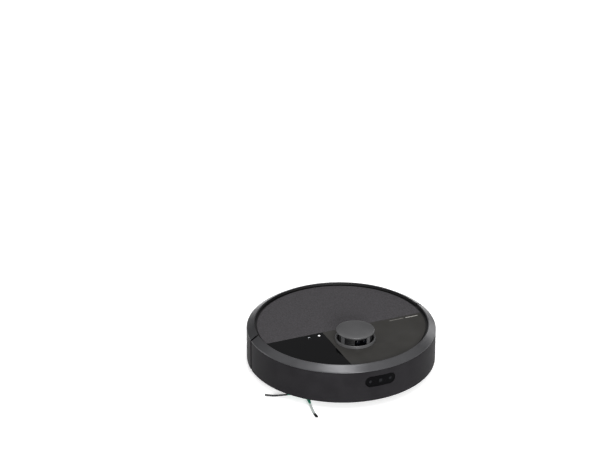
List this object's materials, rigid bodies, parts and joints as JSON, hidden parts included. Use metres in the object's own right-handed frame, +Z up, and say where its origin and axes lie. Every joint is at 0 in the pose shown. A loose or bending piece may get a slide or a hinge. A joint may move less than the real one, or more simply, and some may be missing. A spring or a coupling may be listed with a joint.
{
  "type": "robot vacuum cleaner",
  "caption": "Round floor-cleaning robot with a laser turret, sprung bumper, finned roller, side brush and lifting spinning mop pads.",
  "frame": {"origin": "on the round body's vertical axis, at floor level", "axes": "+Z up, front (bumper) towards -Y, +X to the machine's own left"},
  "size_m": [0.3548, 0.35, 0.1022],
  "materials": {
    "shell": "moulded matte",
    "rim": "satin",
    "textured_lid": "fine stipple",
    "satin_top": "satin",
    "gloss_panel": "polished",
    "dark_window": "polished",
    "turret": "satin",
    "frame_black": "matte",
    "chassis": "moulded matte",
    "steel": "drawn",
    "contact_metal": "plated",
    "belt_rubber": "matte",
    "battery_wrap": "shrink wrap",
    "circuit_board": "solder mask",
    "impeller": "moulded",
    "smoked_bin": "smoked, polished",
    "filter_paper": "pleated",
    "roller_rubber": "satin",
    "green_rubber": "soft",
    "bristle": "nylon",
    "wheel_plastic": "moulded",
    "wheel_tread": "ribbed",
    "mop_cloth": "microfibre"
  },
  "bodies": {
    "chassis": {"base_pan": "chassis", "chassis_wall": "frame_black", "mid_frame": "frame_black", "rear_wall": "shell", "rear_rim": "rim", "front_fascia": "satin_top", "control_panel": "gloss_panel", "turret_ring": "turret", "turret_cap": "turret", "lidar_base": "frame_black", "lidar_motor": "steel", "lidar_belt": "belt_rubber", "battery_pack": "battery_wrap", "battery_door": "chassis", "main_board": "circuit_board", "fan_housing": "chassis", "brush_frame": "chassis", "brush_guard": "chassis", "brush_motor": "steel", "side_brush_motor": "steel", "caster_socket": "chassis", "dock_contact_left": "contact_metal", "dock_contact_right": "contact_metal", "rear_window": "dark_window", "cliff_window_1": "dark_window", "cliff_window_2": "dark_window"},
    "bumper": {"bumper_wall": "shell", "bumper_rim": "rim", "sensor_window": "dark_window"},
    "lid": {"lid_cover": "textured_lid"},
    "dust_bin": {"dust_bin_tub": "smoked_bin", "bin_cover": "shell", "bin_filter": "filter_paper"},
    "bin_bail": {"bin_handle": "rim"},
    "power_key": {"power_button": "gloss_panel"},
    "home_key": {"home_button": "gloss_panel"},
    "lidar_spinner": {"lidar_head": "frame_black", "lidar_lens": "dark_window"},
    "motor_pulley": {"lidar_pulley": "steel"},
    "roller": {"main_roller": "roller_rubber"},
    "side_brush": {"side_brush_hub": "frame_black", "side_brush_spider": "green_rubber", "bristle_tuft_1": "bristle", "bristle_tuft_2": "bristle", "bristle_tuft_3": "bristle"},
    "suspension_left": {"wheel_arm_left": "chassis"},
    "suspension_right": {"wheel_arm_right": "chassis"},
    "wheel_left": {"wheel_rim_left": "wheel_plastic", "wheel_tyre_left": "wheel_tread"},
    "wheel_right": {"wheel_rim_right": "wheel_plastic", "wheel_tyre_right": "wheel_tread"},
    "caster_swivel": {"caster_fork": "chassis"},
    "caster_roll": {"caster_wheel": "wheel_plastic"},
    "mop_lift": {"mop_carrier": "chassis"},
    "mop_left": {"mop_disc_left": "shell", "mop_pad_left": "mop_cloth"},
    "mop_right": {"mop_disc_right": "shell", "mop_pad_right": "mop_cloth"},
    "fan": {"fan_impeller": "impeller"}
  },
  "joints": [
    {"name": "bumper_push", "type": "slide", "parent": "chassis", "child": "bumper", "axis": [0, 1, 0], "range_m": [0, 0.0025], "stiffness_N_per_m": 900, "springref_m": -0.002},
    {"name": "lid_lift", "type": "slide", "parent": "chassis", "child": "lid", "axis": [0, 0, 1], "range_m": [0, 0.12]},
    {"name": "bin_lift", "type": "slide", "parent": "chassis", "child": "dust_bin", "axis": [0, 0, 1], "range_m": [0, 0.06]},
    {"name": "bail_fold", "type": "hinge", "parent": "dust_bin", "child": "bin_bail", "pos_m": [0, 0.058, 0.07395], "axis": [-1, 0, 0], "range_deg": [0, 90]},
    {"name": "power_press", "type": "slide", "parent": "chassis", "child": "power_key", "axis": [0, 0, -1], "range_m": [0, 0.0008], "stiffness_N_per_m": 600, "springref_m": -0.0006},
    {"name": "home_press", "type": "slide", "parent": "chassis", "child": "home_key", "axis": [0, 0, -1], "range_m": [0, 0.0008], "stiffness_N_per_m": 600, "springref_m": -0.0006},
    {"name": "lidar_spin", "type": "hinge", "parent": "chassis", "child": "lidar_spinner", "pos_m": [0, -0.0627, 0.085], "axis": [0, 0, 1], "continuous": true},
    {"name": "pulley_spin", "type": "hinge", "parent": "chassis", "child": "motor_pulley", "pos_m": [-0.036, -0.0627, 0.067], "axis": [0, 0, 1], "continuous": true},
    {"name": "roller_spin", "type": "hinge", "parent": "chassis", "child": "roller", "pos_m": [0, -0.035, 0.0195], "axis": [1, 0, 0], "continuous": true},
    {"name": "side_brush_spin", "type": "hinge", "parent": "chassis", "child": "side_brush", "pos_m": [-0.11099, -0.09699, 0.01], "axis": [0, 0, 1], "continuous": true, "deforming": ["bristle_tuft_1", "bristle_tuft_2", "bristle_tuft_3"]},
    {"name": "suspension_left", "type": "hinge", "parent": "chassis", "child": "suspension_left", "pos_m": [0.095, -0.05, 0.035], "axis": [-1, 0, 0], "range_deg": [0, 24], "stiffness_Nm_per_rad": 0.25, "springref_deg": 51.57},
    {"name": "wheel_spin_left", "type": "hinge", "parent": "suspension_left", "child": "wheel_left", "pos_m": [0.115, 0, 0.035], "axis": [1, 0, 0], "continuous": true},
    {"name": "suspension_right", "type": "hinge", "parent": "chassis", "child": "suspension_right", "pos_m": [-0.095, -0.05, 0.035], "axis": [-1, 0, 0], "range_deg": [0, 24], "stiffness_Nm_per_rad": 0.25, "springref_deg": 51.57},
    {"name": "wheel_spin_right", "type": "hinge", "parent": "suspension_right", "child": "wheel_right", "pos_m": [-0.115, 0, 0.035], "axis": [1, 0, 0], "continuous": true},
    {"name": "caster_swivel_turn", "type": "hinge", "parent": "chassis", "child": "caster_swivel", "pos_m": [0, -0.136, 0.03], "axis": [0, 0, 1], "continuous": true},
    {"name": "caster_wheel_spin", "type": "hinge", "parent": "caster_swivel", "child": "caster_roll", "pos_m": [0, -0.128, 0.011], "axis": [1, 0, 0], "continuous": true},
    {"name": "mop_raise", "type": "slide", "parent": "chassis", "child": "mop_lift", "axis": [0, 0, 1], "range_m": [0, 0.008]},
    {"name": "mop_spin_left", "type": "hinge", "parent": "mop_lift", "child": "mop_left", "pos_m": [0.059, 0.08259, 0.012], "axis": [0, 0, 1], "continuous": true},
    {"name": "mop_spin_right", "type": "hinge", "parent": "mop_lift", "child": "mop_right", "pos_m": [-0.059, 0.08259, 0.012], "axis": [0, 0, 1], "continuous": true},
    {"name": "fan_spin", "type": "hinge", "parent": "chassis", "child": "fan", "pos_m": [-0.106, 0.066, 0.045], "axis": [0, 0, 1], "continuous": true}
  ],
  "couplings": [
    {"joint": "bin_lift", "follows": "lid_lift", "ratio": 0.5},
    {"joint": "bail_fold", "follows": "lid_lift", "rad_per_m": 13.09},
    {"joint": "pulley_spin", "follows": "lidar_spin", "ratio": 4.34},
    {"joint": "mop_spin_right", "follows": "mop_spin_left", "ratio": -1}
  ]
}
